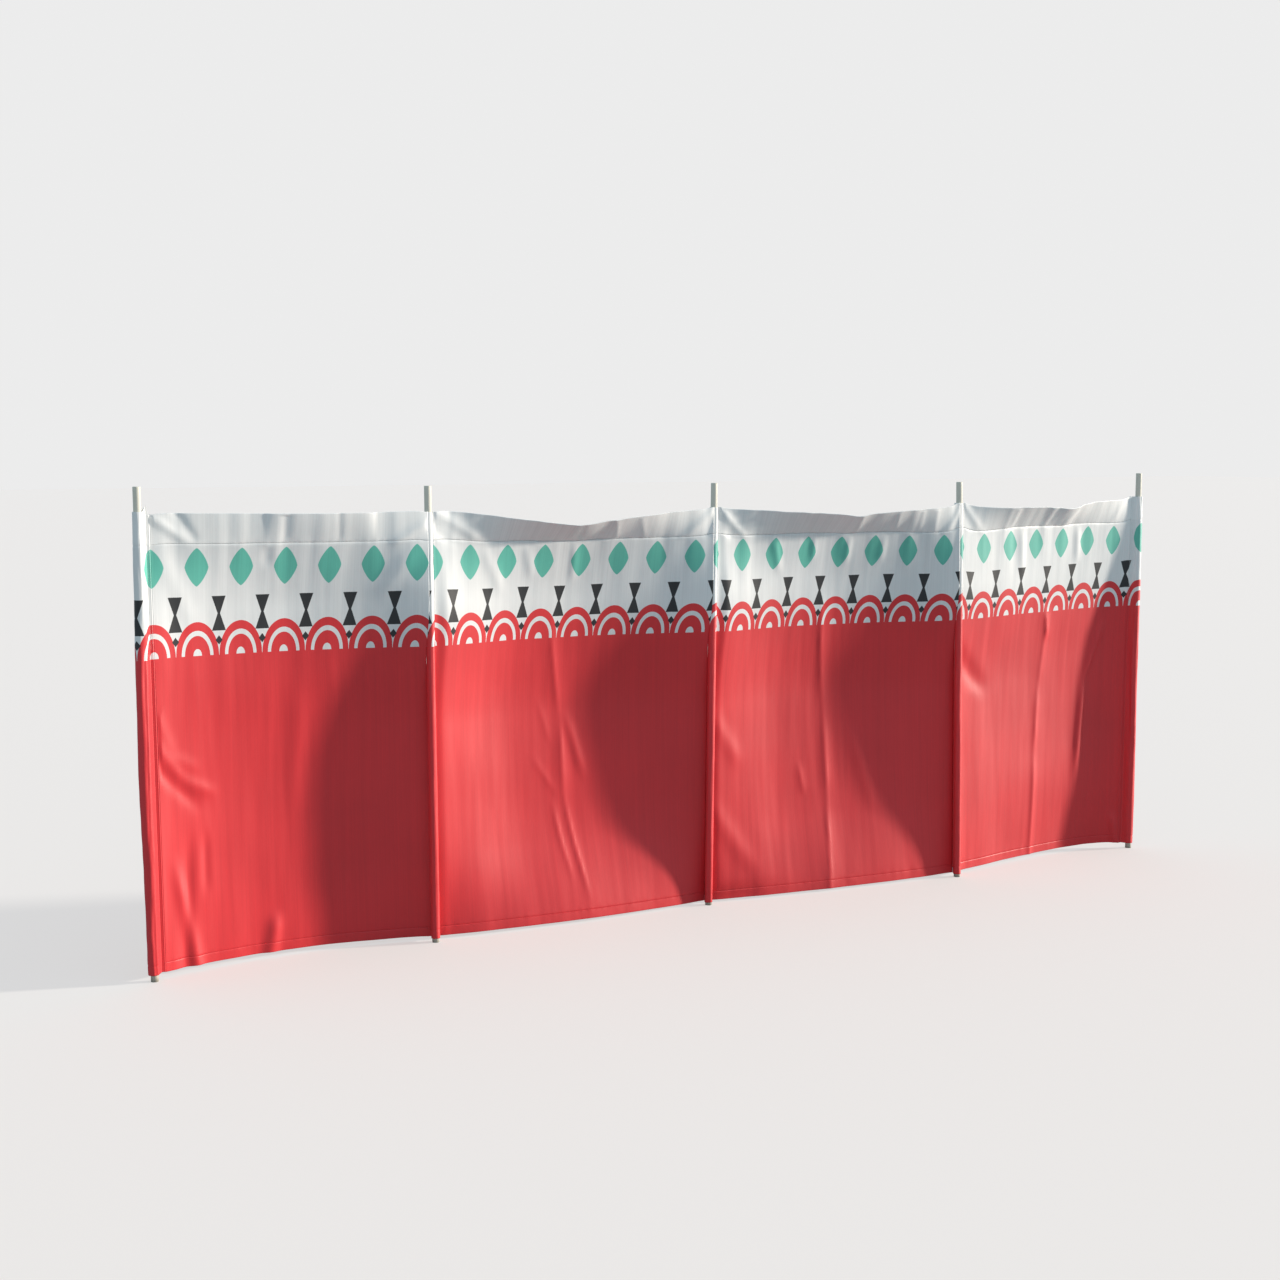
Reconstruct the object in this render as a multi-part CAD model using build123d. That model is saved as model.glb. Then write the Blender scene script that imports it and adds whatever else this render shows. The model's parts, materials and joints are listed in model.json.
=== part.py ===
"""Beach windbreak: four bays of cloth, carried in sewn sleeves by five round wooden poles planted upright.

Millimetres, +Z up. +X runs along the windbreak and -Y is its printed front. The origin is the centre of the
middle pole's foot, at ground level, and everything below the ground is left off.
"""

import os
from math import cos, radians, sin, sqrt, tan

from build123d import *

# Poles, from left to right. The middle one stands at the origin.
pole_diameter = 20.0
pole_top_chamfer = 1.5
pole_height = (1291.0, 1284.0, 1282.0, 1277.0, 1297.0)  # above the ground
pole_lean = (-0.34, -0.23, 0.77, -0.71, 0.17)  # degrees, towards +X
pole_set_back = (-22.0, -7.0, 0.0, -59.0, 9.0)  # out of line, towards +Y
bay_spacing = 892.0  # from foot to foot, where the poles are planted furthest apart
bay_share_of_spacing = (0.883, 0.994, 1.0, 0.883)

# Cloth
cloth_height = 1200.0
cloth_thickness = 2.0
cloth_lift = (18.0, 12.0, 9.0, 10.0, 18.0)  # from the ground to the cloth's lower edge, at each pole
top_hem_height = 78.0
bottom_hem_height = 25.0
hem_thickness = 4.0
sewing_clearance = 0.3  # between two pieces that are sewn together

# Sleeves. Each is a tube whose two sides run together in a flat seam. An inner one is pinched out of the
# front and sewn behind its pole; an end one is looser and runs back slantwise to its seam with the bay.
sleeve_wall = 1.7
sleeve_clearance = 0.3
sleeve_seam_thickness = 3.0
inner_sleeve_run = 8.0  # from the back of the tube to where its two sides meet
inner_seam_allowance = 9.0
end_sleeve_clearance = 1.8
end_sleeve_slack = 1.0  # how far the tube's axis is to the outside of the pole's, and as far behind it
end_sleeve_run = 8.5  # from the side of the tube towards the bay, to where the seam starts
end_seam_set_back = 1.5  # how far the seam is behind the back of the tube
end_seam_allowance = 10.0

# How far each bay hangs back from the line between its two seams, at evenly spaced heights from its lower
# edge to its upper. A minus sign is forward, towards the front.
belly = (
    (60.0, 67.0, 65.0, 42.0, 32.0, -4.0),
    (-28.0, 50.0, 73.0, 72.0, 40.0, 14.0),
    (-24.0, 26.0, 48.0, 54.0, 36.0, 6.0),
    (60.0, 46.0, 46.0, 36.0, 10.0, -6.0),
)
deepest_place = (0.5, 0.5, 0.5, 0.72)  # as a share of the way from the left seam to the right one

# How far each bay's upper edge dips between the poles. The hem's seam dips by a share of it, and the hem,
# which keeps its height, leans forward for the rest.
top_edge_dip = (2.0, 44.0, 30.0, 25.0)
seam_share_of_dip = 0.35
dip_reach = 6  # the dip fades downwards with this power of the height

# A bay is ruled straight from each level section to the next; a hem, from its lower edge to its upper.
section_spacing = 70.0

pole_radius = pole_diameter / 2
sleeve_outer_radius = pole_radius + sleeve_clearance + sleeve_wall
inner_sleeve_depth = sleeve_outer_radius + inner_sleeve_run
end_sleeve_radius = pole_radius + end_sleeve_clearance + sleeve_wall
end_seam_reach = end_sleeve_radius + end_sleeve_run
end_seam_depth = end_sleeve_radius + end_seam_set_back
last_pole = len(pole_height) - 1
middle_pole = last_pole // 2
bay_width = [bay_spacing * share for share in bay_share_of_spacing]
pole_foot = [sum(bay_width[:pole]) - sum(bay_width[:middle_pole]) for pole in range(last_pole + 1)]
sections_up_bay = round(cloth_height / section_spacing)
hem_seam = 1 - top_hem_height / cloth_height
bottom_seam = bottom_hem_height / cloth_height
seam_gap = sewing_clearance / cloth_height


def pole_axis_x(pole, z):
    """Where a leaning pole's axis is at a height."""
    return pole_foot[pole] + z * tan(radians(pole_lean[pole]))


def pole_plane(pole, z):
    """The plane square to a pole at a height, its local Y pointing to the back."""
    lean = radians(pole_lean[pole])
    return Plane(
        origin=(pole_axis_x(pole, z), pole_set_back[pole], z),
        x_dir=(cos(lean), 0, -sin(lean)),
        z_dir=(sin(lean), 0, cos(lean)),
    )


def make_pole(pole):
    """A round pole with a chamfered top, cut off level with the ground."""
    height = pole_height[pole]
    buried = pole_diameter  # enough to cut the foot level on a leaning pole
    shaft = pole_plane(pole, 0) * Pos(0, 0, -buried) * Cylinder(
        pole_radius, height + buried, align=(Align.CENTER, Align.CENTER, Align.MIN)
    )
    shaft = chamfer(shaft.edges().sort_by(Axis.Z)[-1], pole_top_chamfer)
    ground = Pos(pole_foot[pole], pole_set_back[pole], 0) * Box(
        4 * pole_diameter, 4 * pole_diameter, 4 * pole_diameter, align=(Align.CENTER, Align.CENTER, Align.MAX)
    )
    return shaft - ground


def sleeve_section(tube_centre, tube_radius, seam_start, seam_turn, seam_allowance):
    """A drop shape open round the pole at (0, 0), whose two sides meet in a flat seam, turned in degrees."""
    seam_root_place = Pos(*seam_start) * Rot(0, 0, seam_turn)
    seam_root = seam_root_place * Rectangle(sleeve_wall, sleeve_seam_thickness)
    outside = make_hull((Pos(*tube_centre) * Circle(tube_radius)).edges() + seam_root.edges())
    towards_seam = (Vector(*seam_start) - Vector(*tube_centre)).normalized()
    tip = Pos(Vector(*seam_start) - towards_seam * 2 * sleeve_wall) * Circle(sleeve_clearance)
    inside = make_hull((Pos(*tube_centre) * Circle(tube_radius - sleeve_wall)).edges() + tip.edges())
    seam = seam_root_place * Rectangle(seam_allowance, sleeve_seam_thickness, align=(Align.MIN, Align.CENTER))
    return outside + seam - inside


def make_sleeve(pole):
    """The pocket of cloth round one pole, as tall as the cloth."""
    if pole in (0, last_pole):
        section = sleeve_section(
            (-end_sleeve_slack, end_sleeve_slack), end_sleeve_radius,
            (end_seam_reach, end_seam_depth), 0, end_seam_allowance,
        )
    else:
        section = sleeve_section(
            (0, 0), sleeve_outer_radius, (0, inner_sleeve_depth), 90, inner_seam_allowance
        )
    if pole == last_pole:
        section = mirror(section, Plane.YZ)
    return extrude(pole_plane(pole, cloth_lift[pole]) * section, cloth_height)


def seam_place(pole, side, up):
    """Where a bay's front meets a pole's seam, at a share of its height; side is 1 right of the pole."""
    z = cloth_lift[pole] + up * cloth_height
    if pole in (0, last_pole):
        off_axis = end_seam_reach + end_seam_allowance + sewing_clearance
        y = end_seam_depth - cloth_thickness / 2
    else:
        off_axis = sleeve_seam_thickness / 2 + sewing_clearance
        y = inner_sleeve_depth + inner_seam_allowance / 2 - cloth_thickness / 2
    return Vector(pole_axis_x(pole, z) + side * off_axis, pole_set_back[pole] + y, z)


def belly_at(bay, up):
    """How far a bay hangs back at its middle, on a smooth curve through its values."""
    depths = belly[bay]
    last = len(depths) - 1
    step = min(int(up * last), last - 1)
    share = up * last - step
    low, high = depths[step], depths[step + 1]
    slope_at_low = (high - depths[max(step - 1, 0)]) / 2
    slope_at_high = (depths[min(step + 2, last)] - low) / 2
    rise = high - low
    bend = 3 * rise - 2 * slope_at_low - slope_at_high
    twist = slope_at_low + slope_at_high - 2 * rise
    return low + share * (slope_at_low + share * (bend + share * twist))


def hang(bay, up):
    """How far the middle of a bay is from the straight line between its two seams."""
    seam_dip = seam_share_of_dip * top_edge_dip[bay]
    if up <= hem_seam:
        return Vector(0, belly_at(bay, up), -seam_dip * (up / hem_seam) ** dip_reach)
    up_hem = (up - hem_seam) / (1 - hem_seam)
    hem_drop = top_edge_dip[bay] - seam_dip
    lean = sqrt(top_hem_height**2 - (top_hem_height - hem_drop) ** 2)
    return Vector(0, belly_at(bay, up) - lean * up_hem, -seam_dip - hem_drop * up_hem)


def cloth_section(bay, up, thickness):
    """The front, right, back and left edges of a bay's cloth at a share of its height."""
    left = seam_place(bay, 1, up)
    right = seam_place(bay + 1, -1, up)
    # The curve passes halfway from the line between its ends to the point that pulls it.
    pull = left + (right - left) * (2 * deepest_place[bay] - 0.5) + hang(bay, up) * 2
    back = Vector(0, thickness, 0)
    return (
        Bezier(left, pull, right),
        Line(right, right + back),
        Bezier(left + back, pull + back, right + back),
        Line(left, left + back),
    )


def cloth_piece(bay, low, high, thickness, sections):
    """The part of a bay's cloth between two shares of its height, closed from ruled faces."""
    steps_up = [low + (high - low) * step / (sections - 1) for step in range(sections)]
    outlines = [cloth_section(bay, up, thickness) for up in steps_up]
    faces = [
        Face.make_surface_from_curves(lower_edge, upper_edge)
        for lower, upper in zip(outlines, outlines[1:])
        for lower_edge, upper_edge in zip(lower, upper)
    ]
    for front, _, rear, _ in (outlines[0], outlines[-1]):
        faces.append(Face.make_surface_from_curves(front, rear))
    return Solid(Shell(faces))


def make_pieces():
    """Every piece by its name."""
    pieces = {}
    for pole in range(last_pole + 1):
        pieces[f"pole_{pole + 1}"] = make_pole(pole)
        pieces[f"pole_sleeve_{pole + 1}"] = make_sleeve(pole)
    for bay in range(last_pole):
        pieces[f"bottom_hem_{bay + 1}"] = cloth_piece(bay, 0, bottom_seam, hem_thickness, 2)
        pieces[f"cloth_bay_{bay + 1}"] = cloth_piece(
            bay, bottom_seam + seam_gap, hem_seam, cloth_thickness, sections_up_bay
        )
        pieces[f"top_hem_{bay + 1}"] = cloth_piece(bay, hem_seam + seam_gap, 1, hem_thickness, 2)
    return pieces


os.makedirs("parts", exist_ok=True)
for name, piece in make_pieces().items():
    export_step(piece, f"parts/{name}.step")
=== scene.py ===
"""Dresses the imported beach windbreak: printed canvas in folds, sewn hems and sleeves, painted wooden poles.

Metres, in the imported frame. +X runs along the windbreak and -Y is its printed front.
"""

import json
from math import acos, atan2, cos, exp, hypot, pi, radians, sin, sqrt, tan

import bpy
from mathutils import Euler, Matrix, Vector, noise

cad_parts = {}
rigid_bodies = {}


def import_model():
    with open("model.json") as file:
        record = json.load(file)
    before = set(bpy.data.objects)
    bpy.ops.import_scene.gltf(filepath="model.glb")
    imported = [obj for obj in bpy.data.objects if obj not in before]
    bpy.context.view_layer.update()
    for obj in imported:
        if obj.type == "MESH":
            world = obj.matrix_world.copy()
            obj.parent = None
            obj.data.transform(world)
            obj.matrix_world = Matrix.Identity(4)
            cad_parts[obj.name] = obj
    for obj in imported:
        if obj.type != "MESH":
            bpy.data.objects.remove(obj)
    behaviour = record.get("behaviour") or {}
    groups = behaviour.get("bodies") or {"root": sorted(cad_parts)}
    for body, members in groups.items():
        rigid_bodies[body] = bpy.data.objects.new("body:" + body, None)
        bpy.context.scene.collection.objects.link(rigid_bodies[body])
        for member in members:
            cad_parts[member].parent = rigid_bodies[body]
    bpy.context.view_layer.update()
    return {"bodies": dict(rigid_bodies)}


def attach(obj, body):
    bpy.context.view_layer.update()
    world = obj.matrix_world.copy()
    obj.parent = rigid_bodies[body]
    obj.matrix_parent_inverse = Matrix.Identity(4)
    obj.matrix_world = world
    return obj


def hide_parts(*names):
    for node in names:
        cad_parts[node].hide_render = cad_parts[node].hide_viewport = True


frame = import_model()
body_name = next(iter(frame["bodies"]))

# Poles, from left to right
pole_radius = 0.010
pole_chamfer = 0.0015
pole_unevenness = 0.00025  # how far the wood is off round
unevenness_up = 14  # bumps a metre
unevenness_shift = 3  # how far apart in the noise two poles are
pole_height = (1.291, 1.284, 1.282, 1.277, 1.297)
pole_lean = (-0.34, -0.23, 0.77, -0.71, 0.17)  # degrees, towards +X
pole_set_back = (-0.022, -0.007, 0.0, -0.059, 0.009)
bay_spacing = 0.892
bay_share_of_spacing = (0.883, 0.994, 1.0, 0.883)
last_pole = len(pole_height) - 1
middle_pole = last_pole // 2
end_poles = (0, last_pole)
bay_width = [bay_spacing * share for share in bay_share_of_spacing]
pole_foot = [sum(bay_width[:pole]) - sum(bay_width[:middle_pole]) for pole in range(last_pole + 1)]

# Cloth
cloth_height = 1.2
canvas_thickness = 0.0007
cloth_lift = (0.018, 0.012, 0.009, 0.010, 0.018)
top_hem_height = 0.078
bottom_hem_height = 0.025
hem_fold_radius = 0.0013
hem_fold_turns = 5
hem_puff = 0.0012  # how far a hem's back bulges half way up
hem_pinch = 0.0008  # how far its stitches draw it in at the seam
# The raw edge behind a hem: how far past the seam, and how far in from the hem's back
raw_edge = ((0.0024, 0.0), (0.004, 0.0003), (0.0032, 0.0009), (-0.008, 0.0008))
seam_height = cloth_height - top_hem_height
hem_seam = 1 - top_hem_height / cloth_height
bottom_seam = bottom_hem_height / cloth_height

# Inner sleeves
sleeve_radius = 0.0121
inner_seam_depth = 0.0235  # from the pole's axis back to where the bays meet
inner_seam_half_gap = 0.0006
inner_seam_length = 0.003  # how far the sleeve's two sides run together
inner_flank_shares = (0.33, 0.67)  # where the cloth is drawn between that seam and the tube
seam_end_looseness = 0.1
inner_tube_turns = 28
# Shares up the cloth: below the first the bays meet behind an inner sleeve, above the second in front of it
behind_below, front_above = 0.50, 0.80
left_meeting_angle, right_meeting_angle = 22.0, 72.0  # degrees round the sleeve from its front
meeting_gap = 0.0003

# End sleeves
end_tube_radius = 0.0135
end_tube_slack = 0.001  # how far the tube's axis is to the outside of the pole's, and as far behind it
end_tube_turns = 30
end_flank_steps = 7
end_seam_start = 0.022  # from the pole's axis towards the bay
end_seam_width = 0.0103
end_seam_depth = 0.015  # from the pole's axis to the back
end_seam_half_thickness = 0.0014
seam_stitch_margin = 0.0025
last_seam_lift = 0.015  # how far forward the right end's seam comes at the top
last_seam_flat_below, last_seam_flush_above = 0.55, 0.88
left_sleeve_swell = 0.006  # how much wider the left end sleeve is half way up, on its outer side
left_sleeve_draw = 0.0028  # how much narrower it is at its top, on the same side
sleeve_lift = 0.009  # how far it is pulled up above the cloth's upper edge
ear_height = 0.014  # and its ear above that
ear_width = 0.0085
ear_reach = 0.025  # from the pole's axis towards the bay
ear_end = 0.030  # where the pull ends, in the same way
pull_depth = 0.09  # how far down from the top the pull is felt

# All sleeves
sleeve_turn_in = 0.016  # at the top and at the foot
turn_in_radius = 0.8 * canvas_thickness
# A turned-in edge, from its raw end to its fold: how far from the fold, and how far inside the sleeve
turned_in = (
    (sleeve_turn_in, 2 * turn_in_radius),
    (turn_in_radius, 2 * turn_in_radius),
    (0.0002, 1.3 * turn_in_radius),
)
white_from = 0.71  # the share up the cloth from where a sleeve is sewn with white thread
# How far a sleeve stands off its tube: all round, in long wrinkles, in short ones, and in at each hem's seam
end_sleeve_slack = (0.0008, 0.0020, 0.0007, 0.0007)
inner_sleeve_slack = (0.0, 0.0009, 0.0005, 0.0005)
waist_half_height = 0.003
wrinkles_round = 1.6
short_wrinkle_closeness = 1.8  # beside the long ones, round the pole
long_wrinkles_up, short_wrinkles_up = 5, 24  # a metre
long_wrinkle_shift, short_wrinkle_shift = 7, 5  # how far apart in the noise two sleeves are

# How far each bay hangs back at its middle, at evenly spaced heights from its lower edge to its upper
belly = (
    (0.060, 0.067, 0.066, 0.052, 0.052, -0.003),
    (-0.028, 0.050, 0.073, 0.079, 0.074, 0.023),
    (-0.024, 0.026, 0.048, 0.058, 0.059, 0.017),
    (0.060, 0.046, 0.046, 0.038, 0.026, 0.010),
)
deepest_place = (0.5, 0.5, 0.5, 0.72)  # as a share of the way from the left seam to the right one

# How far the upper edge is below its corners, at shares along each bay; a minus sign is above them. The
# hem's seam dips by a share of that, and the hem leans forward for the rest.
top_edge = (
    ((0.0, 0.0), (0.04, -0.0035), (0.30, -0.001), (0.50, 0.001), (0.75, 0.001), (0.95, -0.003), (1.0, 0.0)),
    (
        (0.0, 0.0), (0.04, -0.002), (0.12, 0.0045), (0.24, 0.019), (0.49, 0.0465),
        (0.64, 0.028), (0.86, 0.010), (0.95, 0.006), (1.0, 0.0),
    ),
    (
        (0.0, 0.0), (0.06, 0.0065), (0.29, 0.0185), (0.44, 0.0255), (0.54, 0.035),
        (0.61, 0.0265), (0.73, 0.022), (0.89, 0.015), (0.96, 0.010), (1.0, 0.0),
    ),
    (
        (0.0, 0.0), (0.07, 0.0135), (0.19, 0.0195), (0.30, 0.0215), (0.41, 0.0225),
        (0.58, 0.031), (0.66, 0.0215), (0.75, 0.012), (0.90, 0.011), (0.95, 0.009), (1.0, 0.0),
    ),
)
seam_share_of_dip = 0.3
corner_reach = 0.35  # where the seam stops taking more of it, as a share along from each corner
dip_reach = 6  # the dip fades downwards with this power of the height
edge_rounding = 0.014  # how far to each side the upper edge's kinks are rounded, as a share along
edge_corner = 0.03  # how far from its corners the edge is level with them

# Folds of each bay: from and to, as shares along and up, then half width, height towards the front and
# sharpness
SOFT, CREASE = 2.0, 1.0
folds = (
    (
        ((0.00, 0.492), (0.095, 0.408), 0.018, 0.0035, SOFT),
        ((0.08, 0.418), (0.215, 0.378), 0.016, 0.0030, SOFT),
        ((0.00, 0.452), (0.16, 0.345), 0.018, -0.0033, SOFT),
        ((0.00, 0.560), (0.055, 0.470), 0.018, 0.0021, SOFT),
        ((0.045, 0.476), (0.150, 0.438), 0.015, 0.0019, SOFT),
        ((0.105, 0.30), (0.080, -0.02), 0.018, -0.0054, SOFT),
        ((0.167, 0.30), (0.164, 0.15), 0.012, -0.0026, SOFT),
        ((0.050, 0.24), (0.125, -0.02), 0.017, 0.0057, SOFT),
        ((0.425, 0.09), (0.395, -0.02), 0.020, 0.0071, SOFT),
        ((0.52, 0.64), (0.50, 0.30), 0.035, 0.0029, SOFT),
        ((0.00, 0.995), (0.130, 0.937), 0.013, 0.0037, SOFT),
        ((0.09, 1.00), (0.165, 0.935), 0.012, -0.0028, SOFT),
        ((0.664, 1.00), (0.669, 0.930), 0.008, -0.0028, CREASE),
        ((0.470, 0.99), (0.470, 0.935), 0.010, -0.0019, SOFT),
        ((1.00, 0.975), (0.850, 0.920), 0.014, 0.0030, SOFT),
        ((0.96, 0.93), (0.82, 0.80), 0.024, 0.0029, SOFT),
        ((0.408, 0.93), (0.408, 0.88), 0.014, -0.0022, SOFT),
        ((0.03, 0.93), (0.15, 0.74), 0.026, 0.0026, SOFT),
    ),
    (
        ((0.440, 0.74), (0.489, 0.480), 0.018, 0.0046, CREASE),
        ((0.488, 0.50), (0.497, 0.280), 0.014, 0.0046, CREASE),
        ((0.450, 0.290), (0.500, 0.090), 0.008, 0.0031, CREASE),
        ((0.493, 0.310), (0.553, 0.040), 0.008, 0.0037, CREASE),
        ((0.382, 0.400), (0.472, 0.298), 0.008, 0.0019, CREASE),
        ((0.405, 0.540), (0.455, 0.420), 0.010, 0.0015, CREASE),
        ((0.509, 0.500), (0.575, 0.330), 0.014, 0.0031, SOFT),
        ((0.00, 1.00), (0.20, 0.925), 0.016, 0.0031, SOFT),
        ((0.00, 0.965), (0.13, 0.885), 0.016, -0.0019, SOFT),
        ((1.00, 0.995), (0.87, 0.925), 0.016, 0.0031, SOFT),
        ((1.00, 0.955), (0.90, 0.860), 0.018, -0.0017, SOFT),
        ((0.620, 1.00), (0.655, 0.930), 0.010, 0.0027, CREASE),
        ((0.720, 0.99), (0.757, 0.930), 0.009, 0.0021, CREASE),
        ((0.500, 1.00), (0.510, 0.935), 0.012, -0.0015, SOFT),
        ((0.33, 0.93), (0.36, 0.84), 0.015, 0.0028, SOFT),
        ((0.510, 0.93), (0.51, 0.83), 0.012, 0.0025, SOFT),
        ((0.17, 0.93), (0.26, 0.80), 0.018, 0.0025, SOFT),
    ),
    (
        ((0.462, 0.79), (0.490, 0.450), 0.018, 0.0045, CREASE),
        ((0.490, 0.47), (0.497, 0.220), 0.016, 0.0049, CREASE),
        ((0.497, 0.24), (0.473, -0.02), 0.014, 0.0045, CREASE),
        ((0.00, 0.250), (0.20, 0.052), 0.030, 0.0037, SOFT),
        ((0.00, 0.483), (0.14, 0.335), 0.026, 0.0029, SOFT),
        ((0.384, 0.330), (0.402, 0.245), 0.010, 0.0031, CREASE),
        ((0.60, 0.42), (0.68, 0.19), 0.024, 0.0027, SOFT),
        ((0.00, 1.00), (0.125, 0.925), 0.013, 0.0038, SOFT),
        ((0.02, 0.955), (0.12, 0.880), 0.014, -0.0021, SOFT),
        ((0.560, 1.00), (0.575, 0.930), 0.010, 0.0027, CREASE),
        ((0.720, 0.99), (0.738, 0.930), 0.009, 0.0021, CREASE),
        ((0.830, 0.99), (0.835, 0.930), 0.008, 0.0021, CREASE),
        ((0.893, 0.99), (0.895, 0.930), 0.008, 0.0019, CREASE),
        ((1.00, 0.985), (0.93, 0.925), 0.012, 0.0025, SOFT),
        ((0.235, 0.93), (0.275, 0.83), 0.013, 0.0034, SOFT),
        ((0.41, 0.93), (0.41, 0.86), 0.012, 0.0027, SOFT),
        ((0.555, 0.93), (0.55, 0.85), 0.012, 0.0027, SOFT),
        ((0.70, 0.93), (0.69, 0.85), 0.012, 0.0024, SOFT),
    ),
    (
        ((0.552, 0.70), (0.520, 0.450), 0.014, 0.0036, CREASE),
        ((0.520, 0.48), (0.506, 0.290), 0.013, 0.0054, CREASE),
        ((0.506, 0.32), (0.502, -0.02), 0.013, 0.0054, CREASE),
        ((0.527, 0.70), (0.552, 0.610), 0.009, 0.0047, CREASE),
        ((0.895, 0.65), (0.804, 0.490), 0.015, 0.0072, SOFT),
        ((0.806, 0.51), (0.766, 0.200), 0.015, 0.0072, SOFT),
        ((0.00, 0.60), (0.20, 0.480), 0.030, -0.0054, SOFT),
        ((0.975, 0.09), (1.00, -0.01), 0.012, 0.0072, SOFT),
        ((0.00, 1.00), (0.12, 0.925), 0.014, 0.0025, SOFT),
        ((0.510, 1.00), (0.495, 0.930), 0.013, -0.0021, SOFT),
        ((0.625, 1.00), (0.600, 0.930), 0.018, 0.0024, SOFT),
        ((0.285, 0.99), (0.280, 0.935), 0.010, 0.0014, SOFT),
        ((0.95, 1.00), (0.89, 0.930), 0.014, 0.0021, SOFT),
        ((0.35, 0.93), (0.36, 0.80), 0.014, 0.0036, SOFT),
        ((0.69, 0.93), (0.70, 0.82), 0.014, 0.0032, SOFT),
    ),
)
fold_overrun = 0.1  # how far a fold goes on past its ends, as a share of its length
fold_fade = 0.35  # how far in from them it has its whole height
fold_reach = 4  # how far to each side it is felt, in half widths
open_top = 0.98  # a fold that starts above this share up the cloth has its whole height there
top_hem_creases = 0.937  # folds that start above this share stay in the hem and fade just under its seam
crease_fade = 0.02

# Broad, middling, fine and crosswise ripples: how many a metre along the cloth and up it, where in the noise
# they are taken, and their weight
ripples = ((9, 1.6, 2.1, 1.3), (22, 2.6, 5.3, 0.7), (55, 5.5, 8.9, 0.30), (7, 9, 12.4, 0.6))
ripple_shift = 3.7  # how far apart in the noise two bays are
ripple_height = 0.0012
edge_ripple_height = 0.0028
top_ripple_share = 0.6  # of the height at the lower edge
bottom_ripple_end = 0.30  # a share up the cloth, as the next two
top_ripple_start, top_ripple_whole = 0.80, 0.93
seam_groove, groove_half_width = 0.0005, 0.0022
seam_pucker, pucker_half_width = 0.0006, 0.011
puckers_per_metre = 75
pucker_shift, seam_shift = 2.9, 31  # how far apart in the noise two bays are, and the two seams
pucker_seed = 0.5
slack_under_hem = 0.0014
slack_start, slack_end = 0.004, 0.03  # how far below the seam it builds up, and dies away
sleeve_hold = 0.03  # how far from a sleeve it holds the cloth's ripples and puckers flat
fold_hold = 0.012  # and its folds
ripple_where_held = 0.4

# The fullness of a bay just right of a sleeve that its seam is drawn in behind: for each bay, how far it
# stands forward, and over which shares up the cloth it comes and goes
fullness = ((0.0, 0.0, 0.1), (0.010, 0.02, 0.20), (0.011, 0.0, 0.05), (0.0, 0.0, 0.1))
fullness_crest, fullness_end = 0.042, 0.34  # from the seam
fullness_at_foot = 0.25  # as a share of the whole
fullness_whole_below, fullness_top = 0.75, 0.95

# How finely the cloth is drawn
column_step = 0.0066
row_step = 0.0100
hem_row_step = 0.0052
fine_step = 0.0022
fine_margin = 0.013
smallest_step = 1e-6  # a place nearer than this to the last one is the last one

# Print. Its centres and its foot are in metres down from the cloth's upper edge.
print_pitch = 0.1225
lozenge_centre = 0.139
lozenge_half_width = 0.0325
lozenge_half_height = 0.0505
lozenge_flank = 1.35  # the power that rounds its flanks, where 1 is straight
hourglass_centre = 0.262
hourglass_half_height = 0.046
hourglass_half_width = 0.0195
hourglass_half_waist = 0.0035
diamond_centre = 0.333
diamond_half_height = 0.0125
diamond_breadth = 0.8  # its width as a share of its height
scallop_foot = 0.372
scallop_height = 0.090
# The rings of a scallop, as shares of its radius
scallop_rim, arc_middle, arc_half_width, dot_radius = 0.99, 0.66, 0.075, 0.20
ink_edge = 0.0004
ink_bleed = 0.0011
bleeds_per_metre = 420

# Stitches
stitch_pitch = 0.0037
stitch_length = 0.0031
stitch_thickness = 0.0007
stitch_stand_off = 0.15 * stitch_thickness

# Colours, linear
coral = (0.67, 0.024, 0.031, 1)
white_cloth = (0.74, 0.74, 0.74, 1)
white_hem = (0.80, 0.795, 0.79, 1)  # doubled, so that less shows through
teal = (0.115, 0.47, 0.375, 1)
black_ink = (0.018, 0.019, 0.022, 1)
cream_paint = (0.70, 0.66, 0.5713, 1)
dulled_paint = (0.50, 0.47, 0.37, 1)
bare_wood = (0.46, 0.33, 0.19, 1)
soil = (0.20, 0.16, 0.10, 1)
coral_thread = (0.70, 0.042, 0.05, 1)
white_thread = (0.82, 0.81, 0.78, 1)

# Finishes
# What a noise has between one pair of values becomes a shade, share or roughness between another.
usual_noise = (0.3, 0.7)
mottle_noise = (0.35, 0.65)
canvas_roughness, canvas_specular = 0.48, 0.52
canvas_sheen, canvas_sheen_roughness = 0.06, 0.5
print_through = 0.42  # how strongly the print shows on the reverse
yarn_pitch = 0.0009
yarn_share, slub_share = 0.12, 0.7  # of the weave's height
fine_streak_share = 0.6
streak_noise, streak_shades = (0.36, 0.64), (0.94, 1.045)
mottles_per_metre, mottle_shades = 3.1, (0.95, 1.04)
hem_colour_edge = 0.001  # how far up from its seam a hem's white is reached
thread_roughness = 0.6
strands_per_metre, strand_shades = 900, (0.75, 1.1)
grain_across, grain_along = 900, 9  # a metre
grain_shades, grain_roughness = (0.86, 1.05), (0.42, 0.62)
clouds_per_metre = 28
dull_noise, dull_shares = (0.5, 0.75), (0.0, 0.16)
chips_per_metre = 420
chip_length = 2  # times its width
chip_noise = (0.735, 0.755)  # from no chip to a whole one
chip_share = 0.75  # how much bare wood shows in a chip
worn_top, top_chips = (1.262, 1.290), (0.0, 0.13)  # heights, and what they add to the chips' noise
soiled_foot, foot_soil = (0.0, 0.035), (0.55, 0.0)  # heights, and how much soil there is at them
soil_shares = (0.4, 1.0)
bump_strength, bump_depth = 0.35, 0.0003

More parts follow.
